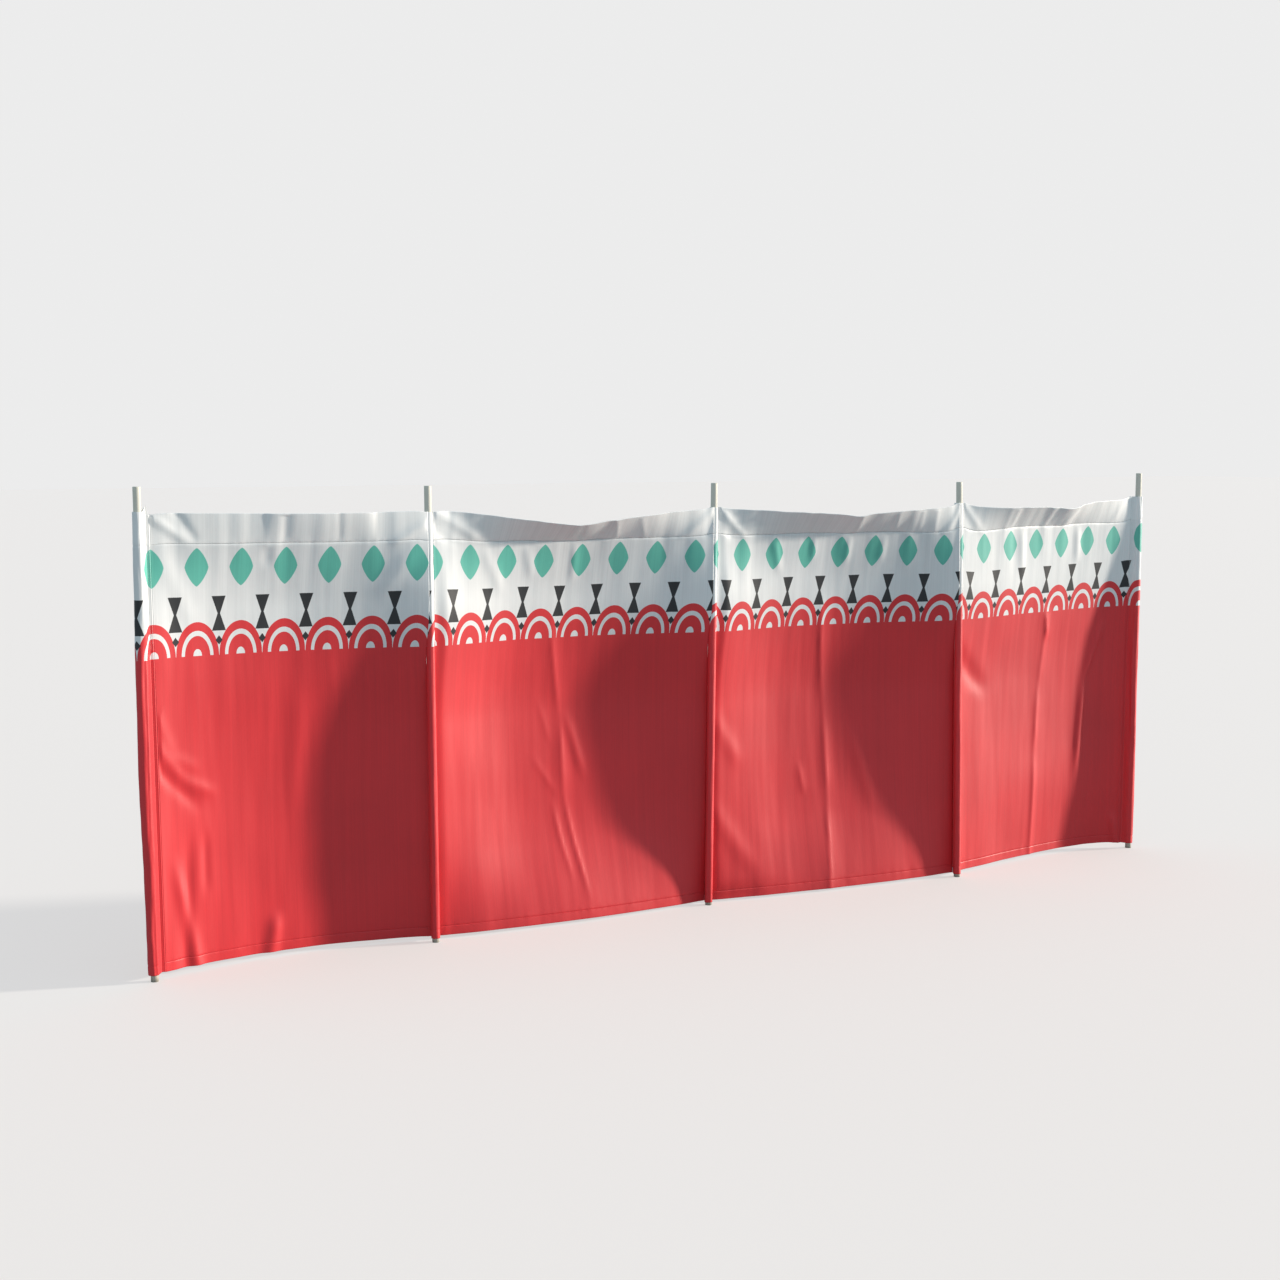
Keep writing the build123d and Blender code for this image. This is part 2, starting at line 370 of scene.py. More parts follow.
# Light, floor and camera
key_strength = 5.65
key_colour = (1.0, 0.91, 0.80)
key_softness = 4.0
key_elevation = 12.0
key_bearing = 15.3  # degrees from the row of poles towards its front
surround_strength = 0.60
surround_colour = (0.76, 0.99, 1.13, 1)
backdrop = 0.84
backdrop_colour = (1, 1, 1, 1)
floor_reach = 60.0
floor_roughness, floor_specular = 0.9, 0.1
floor_colour = (0.35, 0.35, 0.35, 1)
floor_glow = (0.530, 0.483, 0.459, 1)  # what brings the lit floor up to the backdrop's neutral tone
camera_place = (-2.642, -4.687, 1.387)
camera_azimuth = -27.215
camera_pitch = 6.10
camera_roll = 0.11
camera_focal_pixels = 1800.0
picture_pixels = 1280.0
sensor_width = 36.0  # millimetres
camera_range = 200.0


# Shape of the cloth

def clamp(value, low=0.0, high=1.0):
    return max(low, min(high, value))


def smooth_step(low, high, value):
    """0 below low, 1 above high, and a smooth rise between."""
    share = clamp((value - low) / (high - low))
    return share * share * (3 - 2 * share)


def bell(distance, half_width, sharpness=2):
    """1 at no distance, and falling away to both sides."""
    return exp(-((distance / half_width) ** sharpness))


def clear_of_ends(reach, along, width=1.0):
    """0 at both ends of a bay, 1 from a reach inside them, and a smooth rise between."""
    return smooth_step(0, reach, along * width) * smooth_step(0, reach, (1 - along) * width)


def pole_axis_x(pole, z):
    """Where a leaning pole's axis is at a height."""
    return pole_foot[pole] + z * tan(radians(pole_lean[pole]))


def seam_lift(pole, up):
    """How far forward the seam of the right end sleeve comes, towards its top."""
    if pole != last_pole:
        return 0.0
    return last_seam_lift * smooth_step(last_seam_flat_below, last_seam_flush_above, up)


def sleeve_slack(pole, turn, z):
    """How far a sleeve stands off its tube, at a turn round the pole and a height above its lower edge."""
    ring = Vector((cos(turn), sin(turn), 0)) * wrinkles_round
    long_wrinkle = noise.noise(Vector((ring.x, ring.y, z * long_wrinkles_up + long_wrinkle_shift * pole)))
    short_wrinkle = noise.noise(Vector((
        ring.x * short_wrinkle_closeness,
        ring.y * short_wrinkle_closeness,
        z * short_wrinkles_up + short_wrinkle_shift * pole,
    )))
    waist = sum(bell(z - seam, waist_half_height) for seam in (bottom_hem_height, seam_height))
    swell = 0.0
    if pole == 0:
        swell = left_sleeve_swell * sin(pi * z / cloth_height) ** 2
        swell -= left_sleeve_draw * smooth_step(cloth_height - 2 * top_hem_height, cloth_height, z)
        swell *= max(-cos(turn), 0)
    all_round, by_long, by_short, drawn_in = end_sleeve_slack if pole in end_poles else inner_sleeve_slack
    return all_round + swell + by_long * long_wrinkle + by_short * short_wrinkle - drawn_in * waist


def inner_meeting(pole, side, up):
    """Where a bay meets an inner sleeve, from the pole's axis: at the seam behind it, and with height
    further round, until near the top it meets the sleeve in front."""
    front_angle = radians(left_meeting_angle if side < 0 else right_meeting_angle)
    touch_angle = acos(sleeve_radius / inner_seam_depth)  # round from the back
    flank_length = sleeve_radius * tan(touch_angle)
    arc_length = sleeve_radius * (pi - touch_angle - front_angle)
    way = (flank_length + arc_length) * smooth_step(behind_below, front_above, up)
    angle = touch_angle + max(way - flank_length, 0) / sleeve_radius
    share = min(way / flank_length, 1)
    slack = sleeve_slack(pole, pi / 2 - side * angle, up * cloth_height)
    radius = sleeve_radius + (slack + meeting_gap) * share
    touch = (radius * sin(angle), radius * cos(angle))
    return (
        side * (inner_seam_half_gap + (touch[0] - inner_seam_half_gap) * share),
        inner_seam_depth + (touch[1] - inner_seam_depth) * share,
    )


def seam_place(pole, side, up):
    """Where a bay's front meets a pole's sleeve; side is 1 to the right of the pole."""
    z = cloth_lift[pole] + up * cloth_height
    if pole in end_poles:
        reach = side * (end_seam_start + end_seam_width)
        depth = end_seam_depth - end_seam_half_thickness - seam_lift(pole, up)
    else:
        reach, depth = inner_meeting(pole, side, up)
    return Vector((pole_axis_x(pole, z) + reach, pole_set_back[pole] + depth, z))


def belly_at(bay, up):
    """How far a bay hangs back at its middle, on a smooth curve through its values."""
    depths = belly[bay]
    last = len(depths) - 1
    step = min(int(up * last), last - 1)
    share = up * last - step
    low, high = depths[step], depths[step + 1]
    slope_at_low = (high - depths[max(step - 1, 0)]) / 2
    slope_at_high = (depths[min(step + 2, last)] - low) / 2
    rise = high - low
    bend = 3 * rise - 2 * slope_at_low - slope_at_high
    twist = slope_at_low + slope_at_high - 2 * rise
    return low + share * (slope_at_low + share * (bend + share * twist))


def belly_share(bay, along):
    """How much of a bay's belly there is at a share along it, on a curve through its deepest place."""
    pull = 2 * deepest_place[bay] - 0.5
    turn = along
    if pull != 0.5:
        turn = (sqrt(pull**2 + (1 - 2 * pull) * along) - pull) / (1 - 2 * pull)
    return 4 * turn * (1 - turn)


def edge_drop(bay, along):
    """How far the upper edge is below the line between its corners, its kinks a little rounded."""
    total = 0.0
    for shift in (-edge_rounding, 0.0, edge_rounding):
        place = clamp(along + shift)
        for (start, low), (end, high) in zip(top_edge[bay], top_edge[bay][1:]):
            if place <= end:
                total += low + (high - low) * (place - start) / (end - start)
                break
    return total / 3 * clear_of_ends(edge_corner, along)


def smooth_front(bay, along, up):
    """A point of a bay's front before it has any folds."""
    left = seam_place(bay, 1, up)
    right = seam_place(bay + 1, -1, up)
    flat = left + (right - left) * along
    hang = belly_at(bay, clamp(up)) * belly_share(bay, along)
    drop = edge_drop(bay, along)
    mid_bay = clear_of_ends(corner_reach, along)
    seam_drop = (1 - (1 - seam_share_of_dip) * mid_bay) * drop
    if up <= hem_seam:
        return flat + Vector((0, hang, -seam_drop * max(up / hem_seam, 0) ** dip_reach))
    up_hem = (up - hem_seam) / (1 - hem_seam)
    hem_drop = drop - seam_drop
    lean = sqrt(max(top_hem_height**2 - (top_hem_height - hem_drop) ** 2, 0))
    return flat + Vector((0, hang - lean * up_hem, -seam_drop - hem_drop * up_hem))


def fold_height(bay, along, up):
    """How far the folds push a point of a bay towards the front."""
    x, z = along * bay_width[bay], up * cloth_height
    total = 0.0
    for (start_along, start_up), (end_along, end_up), half_width, height, sharpness in folds[bay]:
        from_x, from_z = start_along * bay_width[bay], start_up * cloth_height
        run_x, run_z = end_along * bay_width[bay] - from_x, end_up * cloth_height - from_z
        length = hypot(run_x, run_z)
        share = ((x - from_x) * run_x + (z - from_z) * run_z) / length**2
        if not -fold_overrun < share < 1 + fold_overrun:
            continue
        away = abs((x - from_x) * run_z - (z - from_z) * run_x) / length
        if away > fold_reach * half_width:
            continue
        fade = 1.0
        if 0.0 < start_along < 1.0 and start_up < open_top:
            fade *= smooth_step(-fold_overrun, fold_fade, share)
        if 0.0 < end_along < 1.0 and end_up > 0.0:
            fade *= smooth_step(-fold_overrun, fold_fade, 1 - share)
        if start_up > top_hem_creases and up < hem_seam:
            fade *= smooth_step(hem_seam - crease_fade, hem_seam, up)
        total += height * fade * bell(away, half_width, sharpness)
    return total


def ripple(bay, along, up):
    """Slack that runs up and down the cloth, strongest near its two edges, and fine ripples all over."""
    x, z = along * bay_width[bay] + ripple_shift * bay, up * cloth_height
    waves = [
        noise.noise(Vector((x * across, z * upward, place + bay)))
        for across, upward, place, _ in ripples
    ]
    all_over = sum(weight * wave for (_, _, _, weight), wave in zip(ripples, waves))
    broad, middling, _, _ = waves
    near_bottom = 1 - smooth_step(0.0, bottom_ripple_end, up)
    near_top = smooth_step(top_ripple_start, top_ripple_whole, up)
    return (
        ripple_height * all_over
        + edge_ripple_height * near_bottom * broad
        + top_ripple_share * edge_ripple_height * near_top * middling
    )


def seam_detail(bay, along, up):
    """The groove that a hem's stitches pull in the cloth, its puckers, and the slack under the top one."""
    x = along * bay_width[bay] + pucker_shift * bay
    total = 0.0
    for seam in (hem_seam, bottom_seam):
        away = abs(up - seam) * cloth_height
        pucker = noise.noise(Vector((x * puckers_per_metre, seam * seam_shift, bay + pucker_seed)))
        total -= seam_groove * bell(away, groove_half_width)
        total += seam_pucker * pucker * bell(away, pucker_half_width)
    under = (hem_seam - up) * cloth_height
    if under > 0:
        total += slack_under_hem * (1 - exp(-under / slack_start)) * exp(-under / slack_end)
    return total


def fullness_forward(bay, along, up):
    """The fullness beside the sleeve on a bay's left."""
    height, low, high = fullness[bay]
    away = along * bay_width[bay]
    share = smooth_step(0, fullness_crest, away) * smooth_step(fullness_end, fullness_crest, away)
    from_foot = fullness_at_foot + (1 - fullness_at_foot) * smooth_step(low, high, up)
    return height * share * from_foot * smooth_step(fullness_top, fullness_whole_below, up)


def forward_of_front(bay, along, up):
    """Everything that moves the cloth off its smooth front, fading out where a sleeve holds it."""
    free = clear_of_ends(sleeve_hold, along, bay_width[bay])
    loose = fold_height(bay, along, up)
    loose += ripple(bay, along, up) * (ripple_where_held + (1 - ripple_where_held) * free)
    loose *= clear_of_ends(fold_hold, along, bay_width[bay])
    return loose + seam_detail(bay, along, up) * free + fullness_forward(bay, along, up)


def steps(low, high, usual_step, fine_places):
    """Places from low to high, closer together near each of the fine places."""
    places = [low]
    while places[-1] < high - smallest_step:
        here = places[-1]
        nearest = min(abs(here - place) for place in fine_places)
        step = fine_step if nearest < fine_margin else usual_step
        places.append(min(here + step, high))
    if places[-1] - places[-2] < fine_step / 2:
        del places[-2]
    return places


def grid_normals(grid):
    """The normal towards the front at each point of a grid. Its rows go up and its columns to the right."""
    normals = []
    for row in range(len(grid)):
        line = []
        for column in range(len(grid[row])):
            across = grid[row][min(column + 1, len(grid[row]) - 1)] - grid[row][max(column - 1, 0)]
            upward = grid[min(row + 1, len(grid) - 1)][column] - grid[max(row - 1, 0)][column]
            line.append(across.cross(upward).normalized())
        normals.append(line)
    return normals


def bay_columns(bay):
    """Places across a bay, as shares."""
    return [x / bay_width[bay] for x in steps(0, bay_width[bay], column_step, (0, bay_width[bay]))]


def nearest_row(share):
    """The row of a bay that is nearest to a share of its height."""
    return min(range(len(bay_rows)), key=lambda row: abs(bay_rows[row] - share))


heights_below = steps(0, seam_height, row_step, (0, bottom_hem_height, seam_height))
heights_above = steps(seam_height, cloth_height, hem_row_step, (seam_height, cloth_height))
bay_rows = [z / cloth_height for z in heights_below + heights_above[1:]]
hem_seam_row = len(heights_below) - 1
bottom_seam_row = nearest_row(bottom_seam)
bay_rows[bottom_seam_row] = bottom_seam


def bay_front(bay):
    """The whole front of a bay from its lower edge to its upper, with its folds, and its normals."""
    columns = bay_columns(bay)
    smooth = [[smooth_front(bay, along, up) for along in columns] for up in bay_rows]
    outward = grid_normals(smooth)
    front = [
        [
            smooth[row][column] + outward[row][column] * forward_of_front(bay, along, up)
            for column, along in enumerate(columns)
        ]
        for row, up in enumerate(bay_rows)
    ]
    return front, grid_normals(front)


# Meshes

def new_object(name, data):
    """A new object in the scene."""
    made = bpy.data.objects.new(name, data)
    bpy.context.scene.collection.objects.link(made)
    return made


def new_piece(name, points, edges, faces, materials=()):
    """A new object with a mesh of its own."""
    mesh = bpy.data.meshes.new(name)
    mesh.from_pydata(points, edges, faces)
    for material in materials:
        mesh.materials.append(material)
    return new_object(name, mesh)


def cloth_piece(name, grid, along, up):
    """A sheet of canvas from a grid of points on its printed face. along and up are where its columns and
    its rows are on the uncut cloth, in metres, for the print."""
    rows, columns = len(grid), len(grid[0])
    points = [point for line in grid for point in line]
    quads = [
        (row * columns + column, row * columns + column + 1,
         (row + 1) * columns + column + 1, (row + 1) * columns + column)
        for row in range(rows - 1)
        for column in range(columns - 1)
    ]
    sheet = new_piece(name, points, [], quads, canvas)
    place = sheet.data.uv_layers.new(name="cloth")
    for loop in sheet.data.loops:
        row, column = divmod(loop.vertex_index, columns)
        place.data[loop.index].uv = (along[column], up[row])
    for face in sheet.data.polygons:
        face.use_smooth = True
    body = sheet.modifiers.new("canvas", "SOLIDIFY")
    body.thickness = canvas_thickness
    body.offset = -1
    body.material_offset = 1
    body.material_offset_rim = 1
    make_plain(sheet)
    return sheet


def make_plain(piece):
    """Turns what a piece's modifiers make into its own mesh."""
    bpy.context.view_layer.update()
    evaluated = piece.evaluated_get(bpy.context.evaluated_depsgraph_get())
    made = bpy.data.meshes.new_from_object(evaluated)
    piece.modifiers.clear()
    piece.data = made


def finish_piece(piece, nodes=()):
    """Puts a piece on the one body that there is and hides the imported parts that it stands in for."""
    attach(piece, body_name)
    if nodes:
        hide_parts(*nodes)
    return piece


def path_length(points):
    return sum((b - a).length for a, b in zip(points, points[1:]))


# Materials

class NodeSheet:
    """Short ways to add nodes to one tree. A value may be a number, a colour or another node's socket."""

    def __init__(self, tree):
        self.tree = tree

    def feed(self, socket, value):
        if isinstance(value, bpy.types.NodeSocket):
            self.tree.links.new(value, socket)
        else:
            socket.default_value = value

    def add(self, kind, inputs=None, **settings):
        """A new node with its settings, and with its inputs fed by name or by place."""
        node = self.tree.nodes.new(kind)
        for key, value in settings.items():
            setattr(node, key, value)
        for key, value in (inputs or {}).items():
            self.feed(node.inputs[key], value)
        return node

    def math(self, operation, *values, clamped=False):
        given = dict(enumerate(values))
        return self.add("ShaderNodeMath", given, operation=operation, use_clamp=clamped).outputs[0]

    def plus(self, first, second):
        return self.math("ADD", first, second)

    def minus(self, first, second):
        return self.math("SUBTRACT", first, second)

    def times(self, first, second):
        return self.math("MULTIPLY", first, second)

    def over(self, first, second):
        return self.math("DIVIDE", first, second)

    def vector(self, x, y, z=0.0):
        return self.add("ShaderNodeCombineXYZ", {0: x, 1: y, 2: z}).outputs[0]

    def split(self, vector):
        return self.add("ShaderNodeSeparateXYZ", {0: vector}).outputs

    def noise(self, place, scale, detail=2.0, roughness=0.5):
        given = {"Vector": place, "Scale": scale, "Detail": detail, "Roughness": roughness}
        return self.add("ShaderNodeTexNoise", given).outputs["Fac"]

    def ramp(self, value, source, target=(0.0, 1.0)):
        """A value taken from one range to another, and held within it."""
        given = {"Value": value, "From Min": source[0], "From Max": source[1],
                 "To Min": target[0], "To Max": target[1]}
        return self.add("ShaderNodeMapRange", given, clamp=True).outputs["Result"]

    def mix(self, factor, first, second, blend="MIX"):
        node = self.add("ShaderNodeMix", {"Factor": factor}, data_type="RGBA", blend_type=blend)
        for socket, value in zip([s for s in node.inputs if s.type == "RGBA"], (first, second)):
            self.feed(socket, value)
        return [s for s in node.outputs if s.type == "RGBA"][0]

    def shaded(self, colour, shade):
        """A colour made darker or lighter by a factor."""
        return self.mix(1.0, colour, self.vector(shade, shade, shade), "MULTIPLY")

    def bump(self, shader, height):
        """Gives a shader's surface its fine relief."""
        given = {"Strength": bump_strength, "Distance": bump_depth, "Height": height}
        self.feed(shader.inputs["Normal"], self.add("ShaderNodeBump", given).outputs["Normal"])


def new_group(name, inputs, outputs):
    """A shader node group with named number inputs, and the sheet to fill it with."""
    tree = bpy.data.node_groups.new(name, "ShaderNodeTree")
    for way, sockets in (("INPUT", inputs), ("OUTPUT", outputs)):
        for socket in sockets:
            tree.interface.new_socket(socket, in_out=way, socket_type="NodeSocketFloat")
    sheet = NodeSheet(tree)
    return tree, sheet, sheet.add("NodeGroupInput").outputs, sheet.add("NodeGroupOutput").inputs


def make_print_group():
    """Masks of the printed border, from where a point is along the cloth and down from its upper edge."""
    tree, sheet, given, result = new_group("border_print", ("Along", "Down"), ("Teal", "Black", "Coral"))
    wander = sheet.noise(sheet.vector(given["Along"], given["Down"]), bleeds_per_metre)
    bleed = sheet.times(sheet.minus(wander, 0.5), ink_bleed)
    along = sheet.plus(given["Along"], bleed)
    down = sheet.minus(given["Down"], bleed)
    half_pitch = print_pitch / 2

    def beside(place):
        """How far a place along the cloth is from the middle of the repeat that it is in."""
        return sheet.math("ABSOLUTE", sheet.math("WRAP", place, half_pitch, -half_pitch))

    def height_from(centre):
        return sheet.math("ABSOLUTE", sheet.minus(down, centre))

    def inside(distance):
        """1 where a distance in metres is below 0, through a soft ink edge."""
        return sheet.ramp(distance, (-ink_edge, ink_edge), (1.0, 0.0))

    side, side_between = beside(along), beside(sheet.plus(along, half_pitch))

    # Teal lozenge with rounded flanks
    spread = sheet.math("POWER", sheet.over(side, lozenge_half_width), lozenge_flank)
    rise = sheet.math("POWER", sheet.over(height_from(lozenge_centre), lozenge_half_height), lozenge_flank)
    past_edge = sheet.minus(sheet.plus(spread, rise), 1.0)
    sheet.feed(result["Teal"], inside(sheet.times(past_edge, lozenge_half_width / 2)))

    # Black hourglass between the lozenges, with a small diamond under it
    from_waist = height_from(hourglass_centre)
    slope = (hourglass_half_width - hourglass_half_waist) / hourglass_half_height
    flare = sheet.plus(sheet.times(from_waist, slope), hourglass_half_waist)
    past_flank, past_end = sheet.minus(side_between, flare), sheet.minus(from_waist, hourglass_half_height)
    hourglass = inside(sheet.math("MAXIMUM", past_flank, past_end))
    from_diamond = sheet.plus(side_between, sheet.times(height_from(diamond_centre), diamond_breadth))
    diamond = inside(sheet.minus(from_diamond, diamond_half_height * diamond_breadth))
    sheet.feed(result["Black"], sheet.math("MAXIMUM", hourglass, diamond))

    # Coral scallops, each with a white arc and a white dot, over plain coral
    reach = sheet.over(side, half_pitch)
    climb = sheet.over(sheet.minus(scallop_foot, down), scallop_height)
    radius = sheet.math("POWER", sheet.plus(sheet.times(reach, reach), sheet.times(climb, climb)), 0.5)

    def nearer_than(distance, limit):
        """1 where a share of a scallop's radius is below a limit."""
        return inside(sheet.times(sheet.minus(distance, limit), scallop_height))

    arc = nearer_than(sheet.math("ABSOLUTE", sheet.minus(radius, arc_middle)), arc_half_width)
    arc_or_dot = sheet.math("MAXIMUM", arc, nearer_than(radius, dot_radius))
    below = inside(sheet.minus(scallop_foot, down))
    white_parts = sheet.times(arc_or_dot, sheet.minus(1.0, below))
    filled = sheet.math("SUBTRACT", nearer_than(radius, scallop_rim), white_parts, clamped=True)
    sheet.feed(result["Coral"], sheet.math("MAXIMUM", filled, below))
    return tree


def make_canvas_group():
    """Plain weave: its height, and how yarns that are thicker, thinner or paler streak the colour."""
    tree, sheet, given, result = new_group(
        "canvas_weave", ("Along", "Up", "Yarn Pitch"), ("Height", "Streak", "Mottle"))
    turns = sheet.over(2 * pi, given["Yarn Pitch"])
    warp = sheet.math("SINE", sheet.times(given["Along"], turns))
    weft = sheet.math("SINE", sheet.times(given["Up"], turns))

    def streaks(across, upward, seed=0.0, detail=2, roughness=0.5):
        """Noise with so many streaks a metre along the cloth and up it."""
        place = sheet.vector(sheet.times(given["Along"], across), sheet.times(given["Up"], upward), seed)
        return sheet.noise(place, 1, detail, roughness)

    slubs = streaks(across=620, upward=7)
    sheet.feed(result["Height"], sheet.plus(
        sheet.times(sheet.times(warp, weft), yarn_share), sheet.times(slubs, slub_share)))
    fine = streaks(across=300, upward=2.2, seed=3.0, detail=3, roughness=0.6)
    broad = streaks(across=60, upward=1.1, seed=9.0)
    sheet.feed(result["Streak"], sheet.plus(
        sheet.times(fine, fine_streak_share), sheet.times(broad, 1 - fine_streak_share)))
    mottle_seed = 4.0
    place = sheet.vector(given["Along"], given["Up"], mottle_seed)
    sheet.feed(result["Mottle"], sheet.noise(place, mottles_per_metre, detail=3))
    return tree


def new_material(name, roughness=0.5, specular=0.3):
    """A material with a node sheet and its one Principled shader."""
    material = bpy.data.materials.new(name)
    material.use_nodes = True
    sheet = NodeSheet(material.node_tree)
    shader = material.node_tree.nodes["Principled BSDF"]
    shader.inputs["Roughness"].default_value = roughness
    shader.inputs["Specular IOR Level"].default_value = specular
    return material, sheet, shader


def make_canvas(name, print_strength):
    """Printed canvas. print_strength is 1 on the printed face and less where the print shows through."""
    material, sheet, shader = new_material(name, canvas_roughness, canvas_specular)
    shader.inputs["Sheen Weight"].default_value = canvas_sheen
    shader.inputs["Sheen Roughness"].default_value = canvas_sheen_roughness
    along, up, _ = sheet.split(sheet.add("ShaderNodeUVMap", uv_map="cloth").outputs[0])
    down = sheet.minus(cloth_height, up)
    border = sheet.add("ShaderNodeGroup", {"Along": along, "Down": down}, node_tree=print_group)
    weave = sheet.add(
        "ShaderNodeGroup", {"Along": along, "Up": up, "Yarn Pitch": yarn_pitch}, node_tree=canvas_group)

    doubled = sheet.ramp(up, (seam_height, seam_height + hem_colour_edge))
    colour = sheet.mix(doubled, white_cloth, white_hem)
    for mask, ink in (("Coral", coral), ("Teal", teal), ("Black", black_ink)):
        covered = sheet.times(border.outputs[mask], print_strength)
        colour = sheet.mix(covered, colour, ink)
    colour = sheet.shaded(colour, sheet.ramp(weave.outputs["Streak"], streak_noise, streak_shades))
    colour = sheet.shaded(colour, sheet.ramp(weave.outputs["Mottle"], mottle_noise, mottle_shades))
    sheet.feed(shader.inputs["Base Color"], colour)
    sheet.bump(shader, weave.outputs["Height"])
    return material


def make_thread(name, colour):
    """Twisted sewing thread."""
    material, sheet, shader = new_material(name, thread_roughness)
    strands = sheet.noise(sheet.add("ShaderNodeTexCoord").outputs["Object"], strands_per_metre)
    shade = sheet.ramp(strands, usual_noise, strand_shades)
    sheet.feed(shader.inputs["Base Color"], sheet.shaded(colour, shade))
    return material


def make_painted_wood():
    """Cream paint over dowel: thin along the grain, chipped at the top, soiled at the foot."""
    material, sheet, shader = new_material("cream_paint_on_wood")
    place = sheet.add("ShaderNodeTexCoord").outputs["Object"]
    x, y, z = sheet.split(place)
    across = [sheet.times(axis, grain_across) for axis in (x, y)]
    grain = sheet.noise(sheet.vector(*across, sheet.times(z, grain_along)), 1, detail=4, roughness=0.6)
    clouds = sheet.noise(place, clouds_per_metre, detail=3)
    colour = sheet.shaded(cream_paint, sheet.ramp(grain, usual_noise, grain_shades))
    colour = sheet.mix(sheet.ramp(clouds, dull_noise, dull_shares), colour, dulled_paint)
    drawn_out = sheet.vector(x, y, sheet.times(z, 1 / chip_length))
    chips = sheet.plus(sheet.noise(drawn_out, chips_per_metre, detail=3), sheet.ramp(z, worn_top, top_chips))
    colour = sheet.mix(sheet.times(sheet.ramp(chips, chip_noise), chip_share), colour, bare_wood)
    near_foot = sheet.ramp(z, soiled_foot, foot_soil)
    soiled = sheet.times(near_foot, sheet.ramp(clouds, mottle_noise, soil_shares))
    colour = sheet.mix(soiled, colour, soil)
    sheet.feed(shader.inputs["Base Color"], colour)
    sheet.feed(shader.inputs["Roughness"], sheet.ramp(grain, usual_noise, grain_roughness))
    sheet.bump(shader, grain)
    return material


print_group = make_print_group()
canvas_group = make_canvas_group()
canvas = (make_canvas("printed_canvas", 1.0), make_canvas("canvas_reverse", print_through))
white_stitching = make_thread("white_thread", white_thread)
coral_stitching = make_thread("coral_thread", coral_thread)
painted_wood = make_painted_wood()


# Stitches

def make_stitch_tree():
    """Running stitches along seam lines that carry the way out of the cloth."""
    tree = bpy.data.node_groups.new("running_stitches", "GeometryNodeTree")
    sizes = {"Pitch": "Float", "Length": "Float", "Thickness": "Float"}
    for name, kind in {"Seam": "Geometry", **sizes, "Thread": "Material"}.items():
        tree.interface.new_socket(name, in_out="INPUT", socket_type=f"NodeSocket{kind}")
    tree.interface.new_socket("Stitches", in_out="OUTPUT", socket_type="NodeSocketGeometry")
    sheet = NodeSheet(tree)
    given = sheet.add("NodeGroupInput").outputs
    line = sheet.add("GeometryNodeMeshToCurve", {"Mesh": given["Seam"]}).outputs[0]
    spaced = sheet.add("GeometryNodeResampleCurve", {"Curve": line, "Length": given["Pitch"]}, mode="LENGTH")
    stitch = sheet.add("GeometryNodeMeshUVSphere", {"Segments": 5, "Rings": 4, "Radius": 0.5})
    tangent = sheet.add("GeometryNodeInputTangent").outputs[0]
    lengthwise = sheet.add("FunctionNodeAlignRotationToVector", {"Vector": tangent}, axis="X").outputs[0]
    outward = sheet.add("GeometryNodeInputNamedAttribute", {"Name": "outward"}, data_type="FLOAT_VECTOR")
    standing = sheet.add(
        "FunctionNodeAlignRotationToVector", {"Rotation": lengthwise, "Vector": outward.outputs[0]},
        axis="Z", pivot_axis="X")
    placed = sheet.add("GeometryNodeInstanceOnPoints", {
        "Points": spaced.outputs[0],
        "Instance": stitch.outputs["Mesh"],
        "Rotation": standing.outputs[0],
        "Scale": sheet.vector(given["Length"], given["Thickness"], given["Thickness"]),
    })
    real = sheet.add("GeometryNodeRealizeInstances", {0: placed.outputs[0]})
    smooth = sheet.add("GeometryNodeSetShadeSmooth", {0: real.outputs[0]}).outputs[0]
    dressed = sheet.add("GeometryNodeSetMaterial", {"Geometry": smooth, "Material": given["Thread"]})
    sheet.add("NodeGroupOutput", {"Stitches": dressed.outputs[0]})
    return tree


stitch_tree = make_stitch_tree()


def sew(name, lines, thread):
    """Stitches along several lines. A line is a list of points and ways out of the cloth."""
    points, edges, outward = [], [], []
    for line in lines:
        first = len(points)
        for point, away in line:
            points.append(point + away * stitch_stand_off)
            outward.extend(away)
        edges.extend((i, i + 1) for i in range(first, len(points) - 1))
    piece = new_piece(name, points, edges, [])
    piece.data.attributes.new("outward", "FLOAT_VECTOR", "POINT").data.foreach_set("vector", outward)
    sewing = piece.modifiers.new("sewing", "NODES")
    sewing.node_group = stitch_tree
    sizes = {"Pitch": stitch_pitch, "Length": stitch_length, "Thickness": stitch_thickness}
    settings = {**sizes, "Thread": thread}
    for socket in stitch_tree.interface.items_tree:
        if socket.name in settings:
            sewing[socket.identifier] = settings[socket.name]
    make_plain(piece)
    return finish_piece(piece)


# Bays and their hems

cloth_start = [0.0]  # where each sleeve and bay starts along the uncut cloth, filled from left to right


def hem_layers(seam_row, edge_row):
    """The rows of a hem from its seam to its fold and back down behind, each with how far it is behind the
    front and how far past the fold."""
    way = 1 if edge_row > seam_row else -1
    rows = list(range(seam_row, edge_row + way, way))
    layers = [(row, 0.0, 0.0) for row in rows]
    for turn in range(1, hem_fold_turns):
        angle = pi * turn / hem_fold_turns
        layers.append((edge_row, hem_fold_radius * (1 - cos(angle)), hem_fold_radius * sin(angle)))
    for row in reversed(rows):
        share = abs(row - seam_row) / abs(edge_row - seam_row)
        puff = hem_puff * sin(pi * share) - hem_pinch * (1 - share)
        layers.append((row, 2 * hem_fold_radius + puff, 0.0))
    return way, layers


